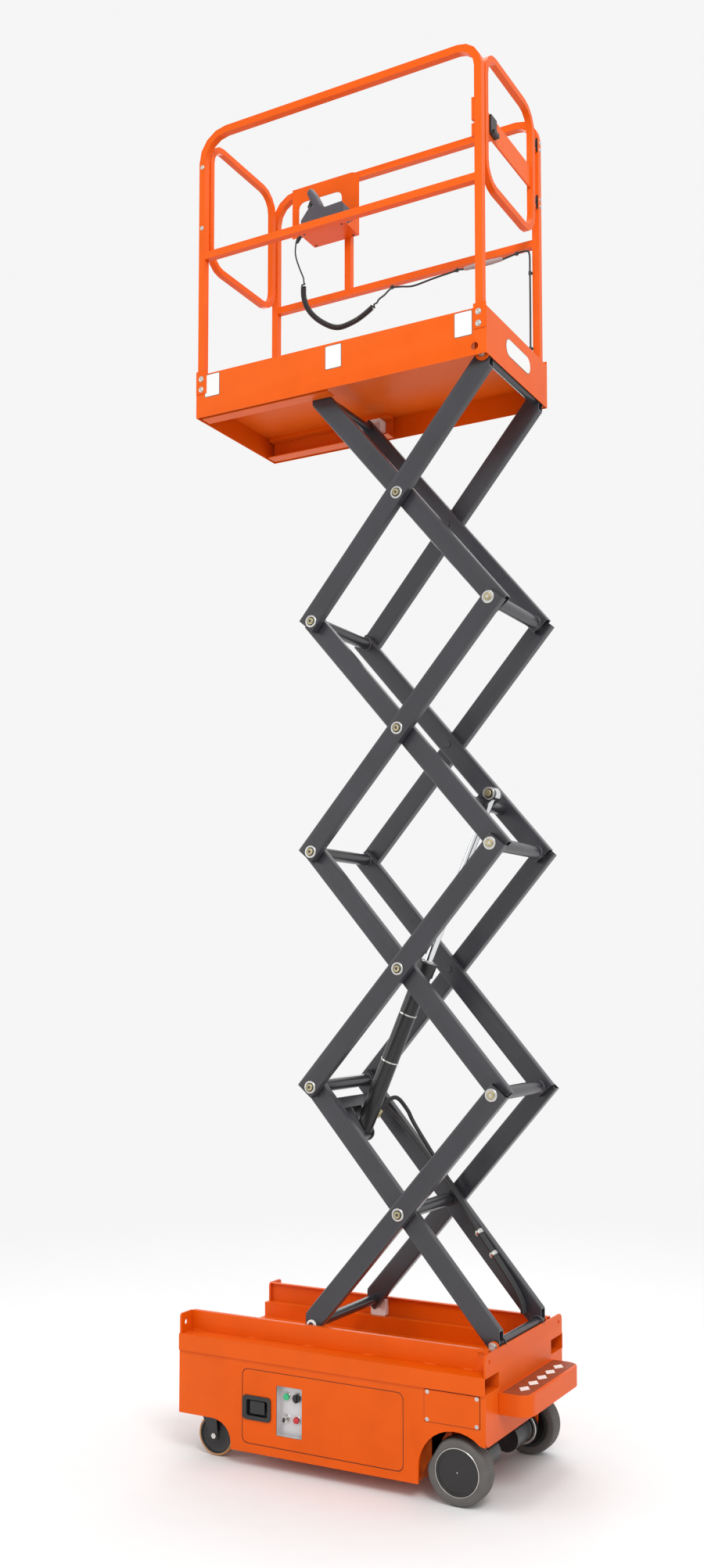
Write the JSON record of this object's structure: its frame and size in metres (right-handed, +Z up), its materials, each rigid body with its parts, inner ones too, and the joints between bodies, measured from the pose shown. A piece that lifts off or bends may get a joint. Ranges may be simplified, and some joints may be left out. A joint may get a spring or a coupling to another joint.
{
  "type": "scissor lift",
  "caption": "Raised self-propelled scissor lift: wheeled chassis, stacked scissor arms with a hydraulic cylinder, and a guard-railed work platform with a swing gate.",
  "frame": {"origin": "centre of the footprint, on the floor", "axes": "+X towards the entry step and gate, +Z up, -Y towards the ground control panel"},
  "size_m": [1.44, 0.76, 5.4385],
  "materials": {
    "orange_paint": "powder coat, satin",
    "charcoal_paint": "satin paint",
    "zinc_plate": "zinc plated",
    "white_nylon": "moulded nylon",
    "black_paint": "satin black",
    "rod_chrome": "hard chrome",
    "hose_rubber": "smooth rubber",
    "black_plastic": "fine grain",
    "grip_plastic": "grained plastic",
    "connector_plastic": "grained plastic",
    "tyre_rubber": "ribbed rubber",
    "polyurethane": "cast polyurethane",
    "panel_metal": "anodised",
    "green_plastic": "translucent cap",
    "red_plastic": "smooth cap"
  },
  "bodies": {
    "base": {"chassis": "orange_paint", "track_rail_near": "orange_paint", "track_rail_far": "orange_paint", "end_step": "orange_paint", "side_cover": "orange_paint", "control_panel": "panel_metal", "battery_pack": "black_plastic", "hydraulic_unit": "black_paint", "drive_motor_near": "black_paint", "drive_motor_far": "black_paint", "base_pivot_pin": "zinc_plate"},
    "access_door": {"access_door": "orange_paint", "latch_bezel": "black_plastic"},
    "latch_paddle": {"latch_paddle": "black_plastic"},
    "green_button": {"green_button": "green_plastic"},
    "red_button": {"red_button": "red_plastic"},
    "rotary_switch": {"rotary_switch": "black_plastic"},
    "key_switch": {"key_switch": "zinc_plate"},
    "drive_wheel_near": {"drive_tyre_near": "tyre_rubber", "drive_hub_near": "black_paint"},
    "caster_fork_near": {"caster_fork_near": "black_paint"},
    "caster_wheel_near": {"caster_wheel_near": "polyurethane"},
    "base_slider_near_block": {"base_slide_block_near": "white_nylon"},
    "deck_slider_near_block": {"deck_slide_block_near": "white_nylon"},
    "drive_wheel_far": {"drive_tyre_far": "tyre_rubber", "drive_hub_far": "black_paint"},
    "caster_fork_far": {"caster_fork_far": "black_paint"},
    "caster_wheel_far": {"caster_wheel_far": "polyurethane"},
    "base_slider_far_block": {"base_slide_block_far": "white_nylon"},
    "deck_slider_far_block": {"deck_slide_block_far": "white_nylon"},
    "inner_1": {"inner_frame_1": "charcoal_paint", "pressure_hose": "hose_rubber", "return_hose": "hose_rubber"},
    "outer_1": {"outer_frame_1": "charcoal_paint", "hinge_pin_1": "zinc_plate"},
    "inner_2": {"inner_frame_2": "charcoal_paint"},
    "outer_2": {"outer_frame_2": "charcoal_paint", "hinge_pin_2": "zinc_plate"},
    "inner_3": {"inner_frame_3": "charcoal_paint"},
    "outer_3": {"outer_frame_3": "charcoal_paint", "hinge_pin_3": "zinc_plate"},
    "inner_4": {"inner_frame_4": "charcoal_paint"},
    "outer_4": {"outer_frame_4": "charcoal_paint"},
    "cylinder_barrel": {"cylinder_barrel": "black_paint"},
    "cylinder_rod": {"cylinder_rod": "rod_chrome"},
    "platform": {"platform_deck": "orange_paint", "guard_rail_near": "orange_paint", "guard_rail_far": "orange_paint", "guard_end_loop": "orange_paint", "control_holder": "orange_paint", "control_box": "grip_plastic", "curly_cable": "hose_rubber", "cable_tail": "hose_rubber", "cable_connector": "connector_plastic", "rail_cable": "hose_rubber", "platform_pivot_pin": "zinc_plate"},
    "entry_gate": {"entry_gate": "orange_paint"},
    "gate_latch": {"gate_latch": "black_plastic"},
    "joystick": {"joystick": "grip_plastic"}
  },
  "joints": [
    {"name": "lift", "type": "hinge", "parent": "base", "child": "inner_1", "pos_m": [0.57124, 0, 0.542], "axis": [0, -1, 0], "range_deg": [0, 46]},
    {"name": "centre_1", "type": "hinge", "parent": "inner_1", "child": "outer_1", "pos_m": [0.2, 0, 0.98789], "axis": [0, -1, 0], "range_deg": [-92, 0]},
    {"name": "side_1", "type": "hinge", "parent": "outer_1", "child": "inner_2", "pos_m": [0.58263, 0, 1.44745], "axis": [0, -1, 0], "range_deg": [0, 92]},
    {"name": "centre_2", "type": "hinge", "parent": "inner_2", "child": "outer_2", "pos_m": [0.2, 0, 1.90702], "axis": [0, -1, 0], "range_deg": [-92, 0]},
    {"name": "side_2", "type": "hinge", "parent": "outer_2", "child": "inner_3", "pos_m": [0.58263, 0, 2.36659], "axis": [0, -1, 0], "range_deg": [0, 92]},
    {"name": "centre_3", "type": "hinge", "parent": "inner_3", "child": "outer_3", "pos_m": [0.2, 0, 2.82616], "axis": [0, -1, 0], "range_deg": [-92, 0]},
    {"name": "side_3", "type": "hinge", "parent": "outer_3", "child": "inner_4", "pos_m": [0.58263, 0, 3.28572], "axis": [0, -1, 0], "range_deg": [0, 92]},
    {"name": "centre_4", "type": "hinge", "parent": "inner_4", "child": "outer_4", "pos_m": [0.2, 0, 3.74529], "axis": [0, -1, 0], "range_deg": [-92, 0]},
    {"name": "platform_level", "type": "hinge", "parent": "outer_4", "child": "platform", "pos_m": [0.57003, 0, 4.21823], "axis": [0, -1, 0], "range_deg": [0, 46]},
    {"name": "base_slider_near", "type": "hinge", "parent": "outer_1", "child": "base_slider_near_block", "pos_m": [-0.17124, -0.28, 0.542], "axis": [0, -1, 0], "range_deg": [0, 46]},
    {"name": "deck_slider_near", "type": "hinge", "parent": "inner_4", "child": "deck_slider_near_block", "pos_m": [-0.17003, -0.257, 4.21823], "axis": [0, -1, 0], "range_deg": [-46, 0]},
    {"name": "base_slider_far", "type": "hinge", "parent": "outer_1", "child": "base_slider_far_block", "pos_m": [-0.17124, 0.28, 0.542], "axis": [0, -1, 0], "range_deg": [0, 46]},
    {"name": "deck_slider_far", "type": "hinge", "parent": "inner_4", "child": "deck_slider_far_block", "pos_m": [-0.17003, 0.257, 4.21823], "axis": [0, -1, 0], "range_deg": [-46, 0]},
    {"name": "cylinder_foot", "type": "hinge", "parent": "inner_1", "child": "cylinder_barrel", "pos_m": [-0.1, 0, 1.25], "axis": [0, -1, 0], "range_deg": [-96.08, 0]},
    {"name": "cylinder_stroke", "type": "slide", "parent": "cylinder_barrel", "child": "cylinder_rod", "axis": [0.3978, 0, 0.9175], "range_m": [-0.66, 0]},
    {"name": "door_hinge", "type": "hinge", "parent": "base", "child": "access_door", "pos_m": [0.2725, -0.372, 0.232], "axis": [0, 0, 1], "range_deg": [0, 110]},
    {"name": "door_latch", "type": "hinge", "parent": "access_door", "child": "latch_paddle", "pos_m": [-0.353, -0.366, 0.25], "axis": [-1, 0, 0], "range_deg": [0, 30], "stiffness_Nm_per_rad": 0.3},
    {"name": "green_button_press", "type": "slide", "parent": "base", "child": "green_button", "axis": [0, 1, 0], "range_m": [0, 0.003], "stiffness_N_per_m": 400, "springref_m": -0.0005},
    {"name": "red_button_press", "type": "slide", "parent": "base", "child": "red_button", "axis": [0, 1, 0], "range_m": [0, 0.003], "stiffness_N_per_m": 400, "springref_m": -0.0005},
    {"name": "rotary_turn", "type": "hinge", "parent": "base", "child": "rotary_switch", "pos_m": [-0.19, -0.345, 0.282], "axis": [0, 1, 0], "range_deg": [-60, 60]},
    {"name": "key_turn", "type": "hinge", "parent": "base", "child": "key_switch", "pos_m": [-0.236, -0.345, 0.2], "axis": [0, 1, 0], "range_deg": [0, 90]},
    {"name": "drive_spin_near", "type": "hinge", "parent": "base", "child": "drive_wheel_near", "pos_m": [0.4804, -0.322, 0.119], "axis": [0, 1, 0], "continuous": true},
    {"name": "caster_swivel_near", "type": "hinge", "parent": "base", "child": "caster_fork_near", "pos_m": [-0.611, -0.3, 0.17], "axis": [0, 0, 1], "continuous": true},
    {"name": "caster_spin_near", "type": "hinge", "parent": "caster_fork_near", "child": "caster_wheel_near", "pos_m": [-0.581, -0.3, 0.08], "axis": [0, 1, 0], "continuous": true},
    {"name": "drive_spin_far", "type": "hinge", "parent": "base", "child": "drive_wheel_far", "pos_m": [0.4804, 0.322, 0.119], "axis": [0, 1, 0], "continuous": true},
    {"name": "caster_swivel_far", "type": "hinge", "parent": "base", "child": "caster_fork_far", "pos_m": [-0.611, 0.3, 0.17], "axis": [0, 0, 1], "continuous": true},
    {"name": "caster_spin_far", "type": "hinge", "parent": "caster_fork_far", "child": "caster_wheel_far", "pos_m": [-0.581, 0.3, 0.08], "axis": [0, 1, 0], "continuous": true},
    {"name": "gate_hinge", "type": "hinge", "parent": "platform", "child": "entry_gate", "pos_m": [0.5685, 0.257, 5.145], "axis": [0, 0, -1], "range_deg": [0, 90]},
    {"name": "gate_latch_turn", "type": "hinge", "parent": "entry_gate", "child": "gate_latch", "pos_m": [0.577, -0.175, 5.175], "axis": [1, 0, 0], "range_deg": [0, 40], "stiffness_Nm_per_rad": 0.3, "springref_deg": -28.65},
    {"name": "joystick_tilt", "type": "hinge", "parent": "platform", "child": "joystick", "pos_m": [-0.422, 0.2, 5.262], "axis": [0, 1, 0], "range_deg": [-12, 12], "stiffness_Nm_per_rad": 8}
  ],
  "couplings": [
    {"joint": "centre_1", "follows": "lift", "ratio": -2},
    {"joint": "side_1", "follows": "lift", "ratio": 2},
    {"joint": "centre_2", "follows": "lift", "ratio": -2},
    {"joint": "side_2", "follows": "lift", "ratio": 2},
    {"joint": "centre_3", "follows": "lift", "ratio": -2},
    {"joint": "side_3", "follows": "lift", "ratio": 2},
    {"joint": "centre_4", "follows": "lift", "ratio": -2},
    {"joint": "platform_level", "follows": "lift", "ratio": 1},
    {"joint": "base_slider_near", "follows": "lift", "ratio": 1},
    {"joint": "deck_slider_near", "follows": "lift", "ratio": -1},
    {"joint": "base_slider_far", "follows": "lift", "ratio": 1},
    {"joint": "deck_slider_far", "follows": "lift", "ratio": -1},
    {"joint": "cylinder_foot", "follows": "lift", "ratio": -2.0671},
    {"joint": "cylinder_stroke", "follows": "lift", "m_per_rad": -0.81078}
  ]
}
